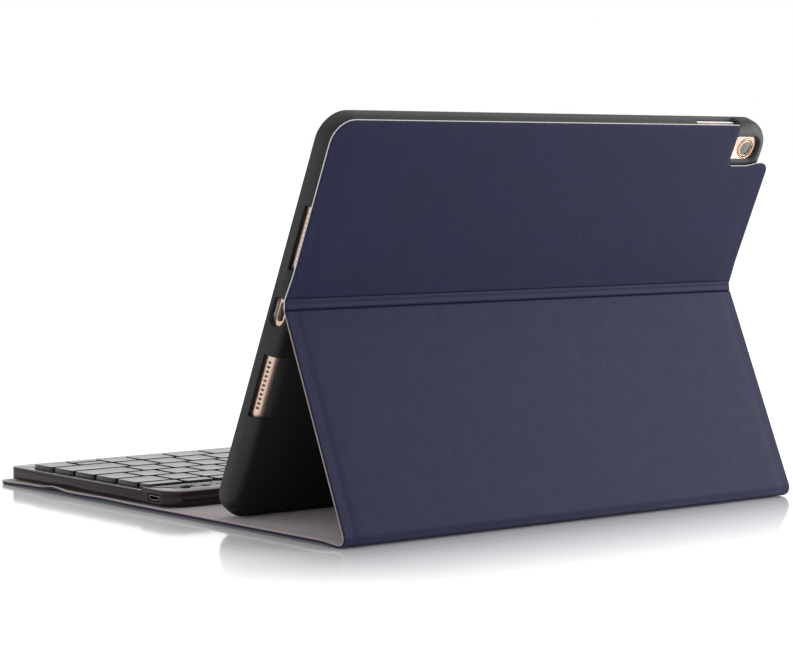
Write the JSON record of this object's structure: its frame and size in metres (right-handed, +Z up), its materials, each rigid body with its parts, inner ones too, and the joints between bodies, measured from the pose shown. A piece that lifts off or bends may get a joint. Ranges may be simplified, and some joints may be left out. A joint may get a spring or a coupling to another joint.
{
  "type": "tablet keyboard case",
  "caption": "Folding leather case that props a tablet up in a rubber bumper shell behind a thin removable keyboard.",
  "frame": {"origin": "under the middle of the whole object as it stands open, on the table", "axes": "+X to the user's right along the folds, +Y away from the user, +Z up"},
  "size_m": [0.253, 0.2486, 0.1669],
  "materials": {
    "cover_leather": "navy polyurethane leather, fine grain, satin",
    "cover_lining": "warm grey microfibre, matte",
    "cover_board": "stiffening board, never seen",
    "glue_sheet": "double-sided glue sheet, never seen",
    "shell_rubber": "black thermoplastic elastomer, fine matte",
    "tablet_metal": "pale gold, bead blasted",
    "tablet_glass": "polished cover glass, switched off",
    "steel": "bright",
    "keyboard_plastic": "very dark brown, satin top and glossy sides",
    "key_plastic": "very dark brown, satin",
    "switch_plastic": "dark grey",
    "indicator_plastic": "clear, unlit",
    "contact_film": "printed polyester film",
    "battery_pouch": "foil pouch",
    "circuit_board": "green solder resist"
  },
  "bodies": {
    "base": {"base_leather": "cover_leather", "base_board": "cover_board", "base_lining": "cover_lining", "base_magnet_front": "steel", "base_magnet_rear": "steel", "rear_fold_strip": "cover_leather"},
    "lower_panel": {"lower_leather": "cover_leather", "lower_board": "cover_board", "lower_lining": "cover_lining", "mid_crease_strip": "cover_leather"},
    "shell": {"bumper_shell": "shell_rubber", "upper_leather": "cover_leather", "upper_board": "cover_board", "upper_adhesive": "glue_sheet"},
    "tablet": {"tablet_body": "tablet_metal", "tablet_glass": "tablet_glass", "tablet_camera_ring": "steel", "tablet_camera_lens": "tablet_glass"},
    "tablet_volume_up": {"tablet_volume_up": "tablet_metal"},
    "tablet_volume_down": {"tablet_volume_down": "tablet_metal"},
    "tablet_power_button": {"tablet_power_button": "tablet_metal"},
    "tablet_home_button": {"tablet_home_button": "tablet_glass"},
    "keyboard": {"keyboard_bottom_case": "keyboard_plastic", "keyboard_deck": "keyboard_plastic", "keyboard_bar_cover": "keyboard_plastic", "keyboard_indicator_lens": "indicator_plastic", "keyboard_keeper_front": "steel", "keyboard_keeper_rear": "steel", "keyboard_contact_sheet": "contact_film", "keyboard_battery": "battery_pouch", "keyboard_main_board": "circuit_board", "keyboard_usb_socket": "steel"},
    "power_switch": {"keyboard_power_switch": "switch_plastic"},
    "pairing_button": {"keyboard_pairing_button": "switch_plastic"},
    "key_function": {"key_function": "key_plastic"},
    "key_control": {"key_control": "key_plastic"},
    "key_option_left": {"key_option_left": "key_plastic"},
    "key_command_left": {"key_command_left": "key_plastic"},
    "key_space": {"key_space": "key_plastic"},
    "key_command_right": {"key_command_right": "key_plastic"},
    "key_option_right": {"key_option_right": "key_plastic"},
    "key_arrow_left": {"key_arrow_left": "key_plastic"},
    "key_arrow_down": {"key_arrow_down": "key_plastic"},
    "key_arrow_up": {"key_arrow_up": "key_plastic"},
    "key_arrow_right": {"key_arrow_right": "key_plastic"},
    "key_shift_left": {"key_shift_left": "key_plastic"},
    "key_shift_right": {"key_shift_right": "key_plastic"},
    "key_caps_lock": {"key_caps_lock": "key_plastic"},
    "key_enter": {"key_enter": "key_plastic"},
    "key_tab": {"key_tab": "key_plastic"},
    "key_backspace": {"key_backspace": "key_plastic"},
    "key_escape": {"key_escape": "key_plastic"},
    "keys_bottom_letters": {"keys_bottom_letters": "key_plastic"},
    "keys_home_letters": {"keys_home_letters": "key_plastic"},
    "keys_top_letters": {"keys_top_letters": "key_plastic"},
    "keys_numbers": {"keys_numbers": "key_plastic"},
    "keys_media": {"keys_media": "key_plastic"}
  },
  "joints": [
    {"name": "rear_fold", "type": "hinge", "parent": "base", "child": "lower_panel", "pos_m": [0, 0.12029, 0.004], "axis": [1, 0, 0], "range_deg": [-110, 0], "deforming": ["rear_fold_strip"]},
    {"name": "mid_crease", "type": "hinge", "parent": "lower_panel", "child": "shell", "pos_m": [0, 0.08626, 0.09137], "axis": [1, 0, 0], "range_deg": [0, 45.6], "deforming": ["mid_crease_strip"]},
    {"name": "tablet_lift", "type": "slide", "parent": "shell", "child": "tablet", "axis": [0, -0.9184, 0.3955], "range_m": [0, 0.03]},
    {"name": "keyboard_lift", "type": "slide", "parent": "base", "child": "keyboard", "axis": [0, 0, 1], "range_m": [0, 0.06]},
    {"name": "power_switch_slide", "type": "slide", "parent": "keyboard", "child": "power_switch", "axis": [-1, 0, 0], "range_m": [0, 0.0022]},
    {"name": "pairing_press", "type": "slide", "parent": "keyboard", "child": "pairing_button", "axis": [0, 0, -1], "range_m": [0, 0.0006], "stiffness_N_per_m": 800, "springref_m": -0.001},
    {"name": "volume_up_press", "type": "slide", "parent": "tablet", "child": "tablet_volume_up", "axis": [0, -0.3955, -0.9184], "range_m": [0, 0.0003], "stiffness_N_per_m": 1500, "springref_m": -0.0005},
    {"name": "volume_down_press", "type": "slide", "parent": "tablet", "child": "tablet_volume_down", "axis": [0, -0.3955, -0.9184], "range_m": [0, 0.0003], "stiffness_N_per_m": 1500, "springref_m": -0.0005},
    {"name": "power_button_press", "type": "slide", "parent": "tablet", "child": "tablet_power_button", "axis": [1, 0, 0], "range_m": [0, 0.0003], "stiffness_N_per_m": 1500, "springref_m": -0.0005},
    {"name": "home_button_press", "type": "slide", "parent": "tablet", "child": "tablet_home_button", "axis": [0, 0.9184, -0.3955], "range_m": [0, 0.0003], "stiffness_N_per_m": 1500, "springref_m": -0.0005},
    {"name": "press_function", "type": "slide", "parent": "keyboard", "child": "key_function", "axis": [0, 0, -1], "range_m": [0, 0.0015], "stiffness_N_per_m": 400, "springref_m": -0.0015},
    {"name": "press_control", "type": "slide", "parent": "keyboard", "child": "key_control", "axis": [0, 0, -1], "range_m": [0, 0.0015], "stiffness_N_per_m": 400, "springref_m": -0.0015},
    {"name": "press_option_left", "type": "slide", "parent": "keyboard", "child": "key_option_left", "axis": [0, 0, -1], "range_m": [0, 0.0015], "stiffness_N_per_m": 400, "springref_m": -0.0015},
    {"name": "press_command_left", "type": "slide", "parent": "keyboard", "child": "key_command_left", "axis": [0, 0, -1], "range_m": [0, 0.0015], "stiffness_N_per_m": 400, "springref_m": -0.0015},
    {"name": "press_space", "type": "slide", "parent": "keyboard", "child": "key_space", "axis": [0, 0, -1], "range_m": [0, 0.0015], "stiffness_N_per_m": 400, "springref_m": -0.0015},
    {"name": "press_command_right", "type": "slide", "parent": "keyboard", "child": "key_command_right", "axis": [0, 0, -1], "range_m": [0, 0.0015], "stiffness_N_per_m": 400, "springref_m": -0.0015},
    {"name": "press_option_right", "type": "slide", "parent": "keyboard", "child": "key_option_right", "axis": [0, 0, -1], "range_m": [0, 0.0015], "stiffness_N_per_m": 400, "springref_m": -0.0015},
    {"name": "press_arrow_left", "type": "slide", "parent": "keyboard", "child": "key_arrow_left", "axis": [0, 0, -1], "range_m": [0, 0.0015], "stiffness_N_per_m": 400, "springref_m": -0.0015},
    {"name": "press_arrow_down", "type": "slide", "parent": "keyboard", "child": "key_arrow_down", "axis": [0, 0, -1], "range_m": [0, 0.0015], "stiffness_N_per_m": 400, "springref_m": -0.0015},
    {"name": "press_arrow_up", "type": "slide", "parent": "keyboard", "child": "key_arrow_up", "axis": [0, 0, -1], "range_m": [0, 0.0015], "stiffness_N_per_m": 400, "springref_m": -0.0015},
    {"name": "press_arrow_right", "type": "slide", "parent": "keyboard", "child": "key_arrow_right", "axis": [0, 0, -1], "range_m": [0, 0.0015], "stiffness_N_per_m": 400, "springref_m": -0.0015},
    {"name": "press_shift_left", "type": "slide", "parent": "keyboard", "child": "key_shift_left", "axis": [0, 0, -1], "range_m": [0, 0.0015], "stiffness_N_per_m": 400, "springref_m": -0.0015},
    {"name": "press_shift_right", "type": "slide", "parent": "keyboard", "child": "key_shift_right", "axis": [0, 0, -1], "range_m": [0, 0.0015], "stiffness_N_per_m": 400, "springref_m": -0.0015},
    {"name": "press_caps_lock", "type": "slide", "parent": "keyboard", "child": "key_caps_lock", "axis": [0, 0, -1], "range_m": [0, 0.0015], "stiffness_N_per_m": 400, "springref_m": -0.0015},
    {"name": "press_enter", "type": "slide", "parent": "keyboard", "child": "key_enter", "axis": [0, 0, -1], "range_m": [0, 0.0015], "stiffness_N_per_m": 400, "springref_m": -0.0015},
    {"name": "press_tab", "type": "slide", "parent": "keyboard", "child": "key_tab", "axis": [0, 0, -1], "range_m": [0, 0.0015], "stiffness_N_per_m": 400, "springref_m": -0.0015},
    {"name": "press_backspace", "type": "slide", "parent": "keyboard", "child": "key_backspace", "axis": [0, 0, -1], "range_m": [0, 0.0015], "stiffness_N_per_m": 400, "springref_m": -0.0015},
    {"name": "press_escape", "type": "slide", "parent": "keyboard", "child": "key_escape", "axis": [0, 0, -1], "range_m": [0, 0.0015], "stiffness_N_per_m": 400, "springref_m": -0.0015},
    {"name": "press_bottom_letters_row", "type": "slide", "parent": "keyboard", "child": "keys_bottom_letters", "axis": [0, 0, -1], "range_m": [0, 0.0015], "stiffness_N_per_m": 400, "springref_m": -0.0015},
    {"name": "press_home_letters_row", "type": "slide", "parent": "keyboard", "child": "keys_home_letters", "axis": [0, 0, -1], "range_m": [0, 0.0015], "stiffness_N_per_m": 400, "springref_m": -0.0015},
    {"name": "press_top_letters_row", "type": "slide", "parent": "keyboard", "child": "keys_top_letters", "axis": [0, 0, -1], "range_m": [0, 0.0015], "stiffness_N_per_m": 400, "springref_m": -0.0015},
    {"name": "press_numbers_row", "type": "slide", "parent": "keyboard", "child": "keys_numbers", "axis": [0, 0, -1], "range_m": [0, 0.0015], "stiffness_N_per_m": 400, "springref_m": -0.0015},
    {"name": "press_media_row", "type": "slide", "parent": "keyboard", "child": "keys_media", "axis": [0, 0, -1], "range_m": [0, 0.0015], "stiffness_N_per_m": 400, "springref_m": -0.0015}
  ],
  "couplings": [
    {"joint": "mid_crease", "follows": "rear_fold", "ratio": -0.4145}
  ]
}
